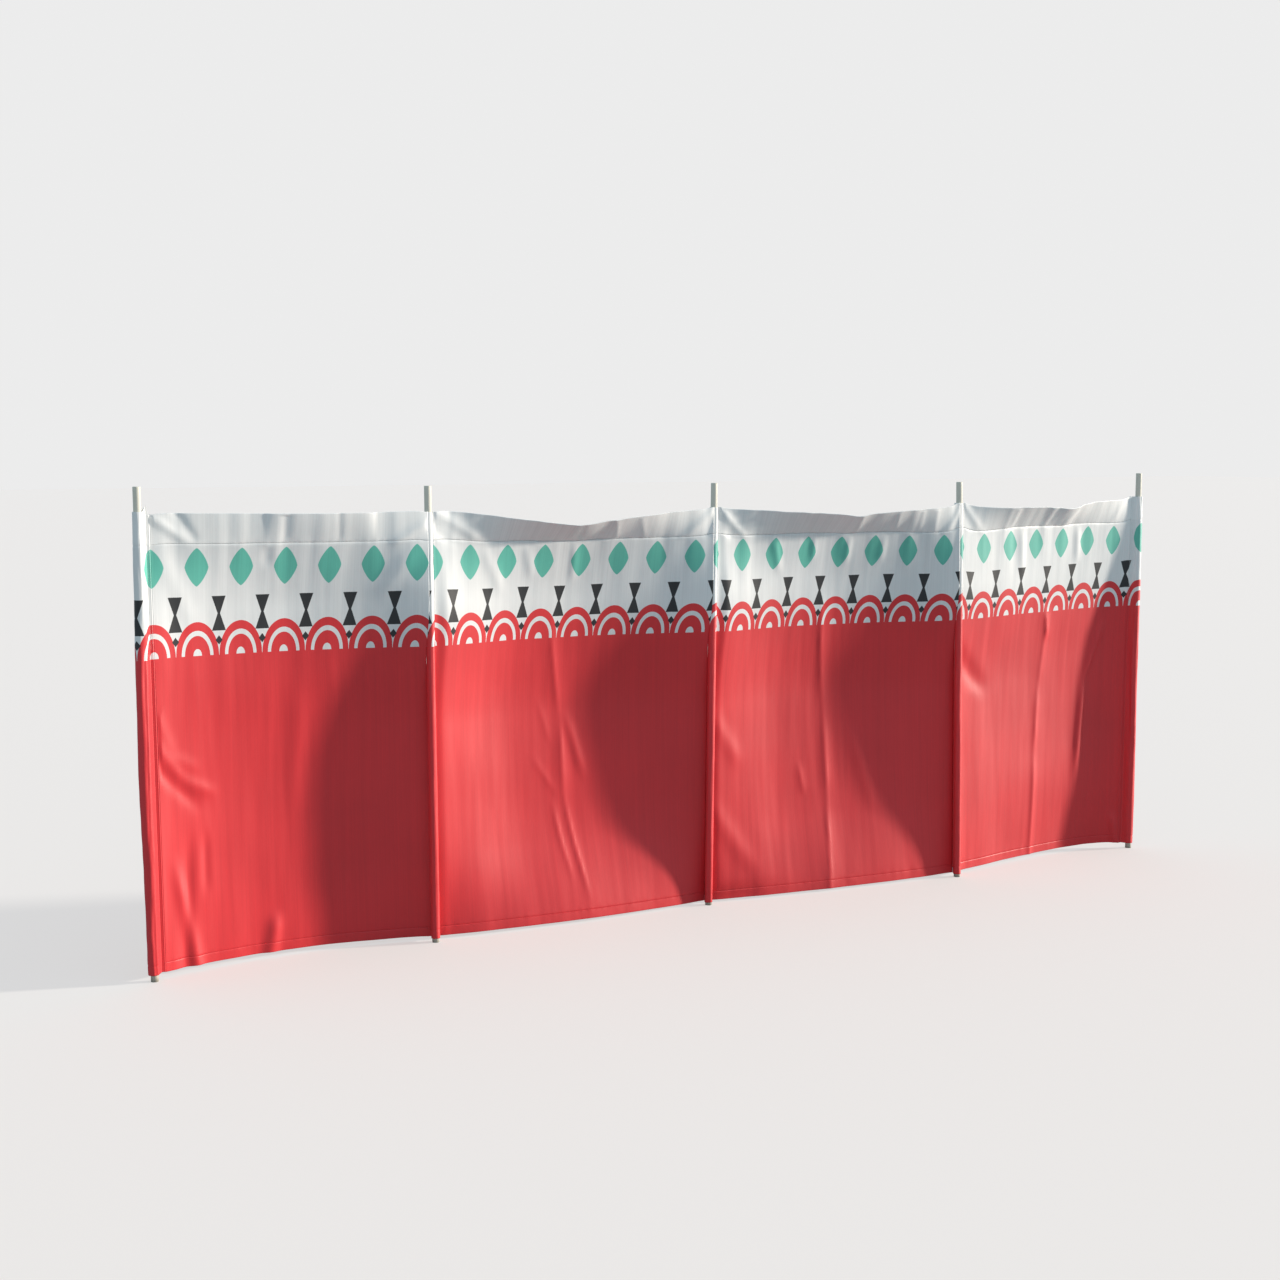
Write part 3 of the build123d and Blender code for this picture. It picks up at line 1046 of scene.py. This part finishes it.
def make_hem(name, node, front, outward, seam_row, edge_row, along):
    """One hem as a folded sheet, its cut height, and the lines that it is sewn along."""
    way, layers = hem_layers(seam_row, edge_row)
    columns = range(len(along))
    inner = front[edge_row - way]
    grid = []
    for row, behind, beyond in layers:
        line = [front[row][column] - outward[row][column] * behind for column in columns]
        if beyond:
            line = [
                point + (front[edge_row][column] - inner[column]).normalized() * beyond
                for column, point in enumerate(line)
            ]
        grid.append(line)
    lengths = [0.0]
    middle = len(along) // 2
    for low, high in zip(grid, grid[1:]):
        lengths.append(lengths[-1] + (high[middle] - low[middle]).length)

    # The raw edge hangs a little past the seam behind, then turns in.
    last_line = grid[-1]
    downward = [(grid[-1][column] - grid[-2][column]).normalized() for column in columns]
    for past, lift in raw_edge:
        grid.append([
            last_line[column] + downward[column] * past + outward[seam_row][column] * lift
            for column in columns
        ])
        lengths.append(lengths[-1] + abs(past) / 2)
    seam_up = bay_rows[seam_row] * cloth_height
    ups = [seam_up + way * length for length in lengths]
    if way < 0:
        # Rows have to run upwards for the faces to look outwards.
        grid.reverse()
        ups.reverse()
    piece = cloth_piece(name, grid, along, ups)
    finish_piece(piece, (node,))

    stitch_row = seam_row + way
    behind = next(entry[1] for entry in reversed(layers) if entry[0] == stitch_row)
    front_line = [(front[stitch_row][column], outward[stitch_row][column]) for column in columns]
    back_line = [
        (front[stitch_row][column] - outward[stitch_row][column] * behind, -outward[stitch_row][column])
        for column in columns
    ]
    return piece, lengths[-1], (front_line, back_line)


def make_bay(bay):
    """One bay of cloth between two sleeves, with its hems and their stitches."""
    number = bay + 1
    front, outward = bay_front(bay)
    cut_width = path_length(front[len(front) // 2])
    start = cloth_start[-1]
    cloth_start.append(start + cut_width)
    along = [start + cut_width * share for share in bay_columns(bay)]

    rows = range(bottom_seam_row, hem_seam_row + 1)
    ups = [bay_rows[row] * cloth_height for row in rows]
    middle = cloth_piece(f"canvas_bay_{number}", [front[row] for row in rows], along, ups)
    finish_piece(middle, (f"cloth_bay_{number}",))
    hems = (
        ("top_hem", "hem_cloth", white_stitching, hem_seam_row, len(bay_rows) - 1),
        ("bottom_hem", "printed_cloth", coral_stitching, bottom_seam_row, 0),
    )
    folded = [
        make_hem(
            f"{hem}_canvas_{number}", f"{hem}_{number}", front, outward, seam_row, edge_row, along)
        for hem, slot, _, seam_row, edge_row in hems
    ]
    for (hem, slot, thread, _, _), (piece, cut_height, lines) in zip(hems, folded):
        stitches = sew(f"{hem}_stitches_{number}", lines, thread)


# Sleeves
# A path goes across one: offsets from the pole's axis, and how loose the cloth is there.

def tube_arc(centre, radius, first, sweep, turns):
    """The fully loose part of a path, from one angle round the pole's tube through a sweep."""
    angles = [first + sweep * turn / turns for turn in range(turns + 1)]
    return [(centre[0] + radius * cos(angle), centre[1] + radius * sin(angle), 1.0) for angle in angles]


def flank(seam, touch, shares):
    """The straight run between a seam and where the cloth touches the tube."""
    return [
        (seam[0] + (touch[0] - seam[0]) * share, seam[1] + (touch[1] - seam[1]) * share, share)
        for share in shares
    ]


def mirrored(path):
    return [(-x, y, loose) for x, y, loose in reversed(path)]


def inner_sleeve_path():
    """Across a sleeve that is pinched out of the front, from its left seam to its right."""
    pinch = inner_seam_half_gap
    seam_end = inner_seam_depth - inner_seam_length
    tangent = acos(sleeve_radius / seam_end)
    tube = tube_arc((0, 0), sleeve_radius, pi / 2 + tangent, 2 * pi - 2 * tangent, inner_tube_turns)
    left = [
        (-pinch, inner_seam_depth, 0.0),
        (-pinch, inner_seam_depth - inner_seam_length / 2, 0.0),
        (-pinch, seam_end, seam_end_looseness),
    ]
    left += flank((-pinch, seam_end), tube[0], inner_flank_shares)
    return left + tube + mirrored(left)


def tangent_angle(centre, radius, place, side):
    """Where on a circle the straight line from a place outside touches it; side is 1 or -1."""
    x, y = place[0] - centre[0], place[1] - centre[1]
    return atan2(y, x) + side * acos(radius / hypot(x, y))


def end_sleeve_path():
    """Across the left end sleeve: from its raw edge behind the bay, round the pole, to the bay's front."""
    centre = (-end_tube_slack, end_tube_slack)
    behind = end_seam_depth + end_seam_half_thickness
    before = end_seam_depth - end_seam_half_thickness
    first = tangent_angle(centre, end_tube_radius, (end_seam_start, behind), 1)
    last = tangent_angle(centre, end_tube_radius, (end_seam_start, before), -1) + 2 * pi
    tube = tube_arc(centre, end_tube_radius, first, last - first, end_tube_turns)
    shares = [step / end_flank_steps for step in range(1, end_flank_steps)]
    seam = [end_seam_width, end_seam_width - seam_stitch_margin, seam_stitch_margin, 0.0]
    back = [(end_seam_start + reach, behind, 0.0) for reach in seam]
    back += flank((end_seam_start, behind), tube[0], shares)
    front = list(reversed(flank((end_seam_start, before), tube[-1], shares)))
    front += [(end_seam_start + reach, before, 0.0) for reach in reversed(seam)]
    return back + tube + front


def sleeve_path(pole):
    """Across the sleeve of a pole, from left to right."""
    if pole not in end_poles:
        return inner_sleeve_path()
    return end_sleeve_path() if pole == 0 else mirrored(end_sleeve_path())


def sleeve_grid(pole, path):
    """A sleeve's rows from its turned-in lower edge to its turned-in upper one, and how far up each is."""
    lean = radians(pole_lean[pole])
    outward = []
    for i in range(len(path)):
        run = Vector(path[min(i + 1, len(path) - 1)][:2]) - Vector(path[max(i - 1, 0)][:2])
        outward.append(Vector((run.y, -run.x)).normalized())

    def row_at(z, inwards=0.0):
        """A row at a height above the cloth's lower edge."""
        height = cloth_lift[pole] + z
        row = []
        for (x, y, loose), away in zip(path, outward):
            tucked = inwards if pole in end_poles else inwards * loose
            shift = sleeve_slack(pole, atan2(y, x), z) * loose - tucked
            lift = seam_lift(pole, z / cloth_height) * (1 - loose)
            row.append(Vector((
                pole_axis_x(pole, height) + (x + away.x * shift) * cos(lean),
                pole_set_back[pole] + y - lift + away.y * shift,
                height,
            )))
        return row

    grid = [row_at(z, inwards) for z, inwards in turned_in]
    ups = [-z for z, _ in turned_in]
    for up in bay_rows:
        grid.append(row_at(up * cloth_height))
        ups.append(up * cloth_height)
    for z, inwards in reversed(turned_in):
        grid.append(row_at(cloth_height - z, inwards))
        ups.append(cloth_height + z)
    return grid, ups


def make_sleeve(pole):
    """The pocket round one pole, with its upper and lower edges turned in, and its stitches."""
    number = pole + 1
    path = sleeve_path(pole)
    flat_path = [Vector((x, y, 0)) for x, y, _ in path]
    cut_width = path_length(flat_path)
    start = cloth_start[-1]
    cloth_start.append(start + cut_width)
    along = [start + path_length(flat_path[:i + 1]) for i in range(len(path))]
    grid, ups = sleeve_grid(pole, path)
    if pole == 0:
        lift_corner(grid, pole)
    piece = cloth_piece(f"sleeve_canvas_{number}", grid, along, ups)
    finish_piece(piece, (f"pole_sleeve_{number}",))

    normals = grid_normals(grid)
    first = len(turned_in)
    last = first + len(bay_rows) - 1
    where_white = first + nearest_row(white_from)
    # An end sleeve's seam has two rows of stitches on each face, an inner one's has one.
    seam_columns = [1, 2, -3, -2] if pole in end_poles else [1, -2]

    def sewn(rows, columns):
        return [(grid[row][column], normals[row][column]) for row in rows for column in columns]

    across = range(3, len(path) - 3)  # round the pole, from seam to seam
    coral_lines = [sewn(range(first, where_white + 1), [column]) for column in seam_columns]
    coral_lines.append(sewn([first + bottom_seam_row - 1], across))
    white_lines = [sewn(range(where_white, last + 1), [column]) for column in seam_columns]
    white_lines.append(sewn([first + hem_seam_row + 1], across))
    stitches = [
        sew(f"sleeve_stitches_{number}", coral_lines, coral_stitching),
        sew(f"sleeve_white_stitches_{number}", white_lines, white_stitching),
    ]


def lift_corner(grid, pole):
    """Pulls the top of the left end sleeve up, into a small ear on the side of the bay."""
    for row in grid:
        for point in row:
            below_top = cloth_lift[pole] + cloth_height - point.z
            reach = point.x - pole_axis_x(pole, point.z)
            pull = smooth_step(pull_depth, 0.0, below_top) * smooth_step(ear_end, ear_reach, reach)
            point.z += pull * (sleeve_lift + ear_height * bell(reach - ear_reach, ear_width))


# Poles

def pole_rings(height):
    """The heights and radii of a pole's rings, up its side, round its eased edge and in over its top."""
    levels = 48
    rings = [(height * level / levels, pole_radius) for level in range(levels)]
    for share in (0.0, 0.35, 0.75, 1.0):
        angle = share * pi / 2
        z = height - pole_chamfer + pole_chamfer * sin(angle)
        rings.append((z, pole_radius - pole_chamfer + pole_chamfer * cos(angle)))
    flat_share = 0.6
    return rings + [(height, pole_radius * flat_share)]


def make_pole(pole):
    """A round pole with an eased top, planted at the ground."""
    number = pole + 1
    sides = 40
    rings = pole_rings(pole_height[pole])
    points, faces = [], []
    for z, radius in rings:
        for side in range(sides):
            angle = 2 * pi * side / sides
            spot = Vector((cos(angle), sin(angle), z * unevenness_up + unevenness_shift * pole))
            uneven = noise.noise(spot) * pole_unevenness if z > 0 else 0.0
            points.append(Vector((
                pole_axis_x(pole, z) + (radius + uneven) * cos(angle),
                pole_set_back[pole] + (radius + uneven) * sin(angle),
                z,
            )))
    for ring in range(len(rings) - 1):
        for side in range(sides):
            a, b = ring * sides + side, ring * sides + (side + 1) % sides
            faces.append((a, b, b + sides, a + sides))
    faces.append(tuple(range(sides - 1, -1, -1)))
    faces.append(tuple((len(rings) - 1) * sides + side for side in range(sides)))
    piece = new_piece(f"painted_pole_{number}", points, [], faces, [painted_wood])
    for face in piece.data.polygons:
        face.use_smooth = len(face.vertices) == 4
    finish_piece(piece, (f"pole_{number}",))


for pole in range(last_pole + 1):
    make_pole(pole)
    make_sleeve(pole)
    if pole < last_pole:
        make_bay(pole)


# Floor, light and camera

def make_floor():
    """A wide pale floor that keeps the shadow of the windbreak."""
    material, sheet, shader = new_material("pale_floor", floor_roughness, floor_specular)
    shader.inputs["Base Color"].default_value = floor_colour
    seen = sheet.add("ShaderNodeLightPath").outputs["Is Camera Ray"]
    glow = sheet.add("ShaderNodeEmission", {"Color": floor_glow, "Strength": seen})
    both = sheet.add("ShaderNodeAddShader", {0: shader.outputs[0], 1: glow.outputs[0]})
    sheet.feed(material.node_tree.nodes["Material Output"].inputs["Surface"], both.outputs[0])
    corners = [(x * floor_reach, y * floor_reach, 0) for x, y in ((-1, -1), (1, -1), (1, 1), (-1, 1))]
    new_piece("studio_floor", corners, [], [(0, 1, 2, 3)], [material])


def make_light():
    """One soft key lamp, low and from the right, and an even pale surround."""
    key = bpy.data.lights.new("key_lamp", "SUN")
    key.energy = key_strength
    key.angle = radians(key_softness)
    key.color = key_colour
    elevation, bearing = radians(key_elevation), radians(key_bearing)
    toward = Vector((-cos(elevation) * cos(bearing), cos(elevation) * sin(bearing), -sin(elevation)))
    new_object("key_lamp", key).rotation_euler = toward.to_track_quat("-Z", "Y").to_euler()
    world = bpy.data.worlds.new("pale_surround")
    world.use_nodes = True
    sheet = NodeSheet(world.node_tree)
    background = world.node_tree.nodes["Background"]
    seen = sheet.add("ShaderNodeLightPath").outputs["Is Camera Ray"]
    sheet.feed(background.inputs["Color"], sheet.mix(seen, surround_colour, backdrop_colour))
    sheet.feed(background.inputs["Strength"], sheet.ramp(seen, (0.0, 1.0), (surround_strength, backdrop)))
    bpy.context.scene.world = world


def make_camera():
    """The camera at the photograph's viewing angle."""
    data = bpy.data.cameras.new("camera")
    data.sensor_width = sensor_width
    data.lens = sensor_width * camera_focal_pixels / picture_pixels
    data.clip_end = camera_range
    camera = new_object("camera", data)
    camera.location = camera_place
    turns = (90 - camera_pitch, camera_roll, camera_azimuth)
    camera.rotation_euler = Euler([radians(turn) for turn in turns])
    bpy.context.scene.camera = camera


make_floor()
make_light()
make_camera()
bpy.context.scene.view_settings.view_transform = "Standard"
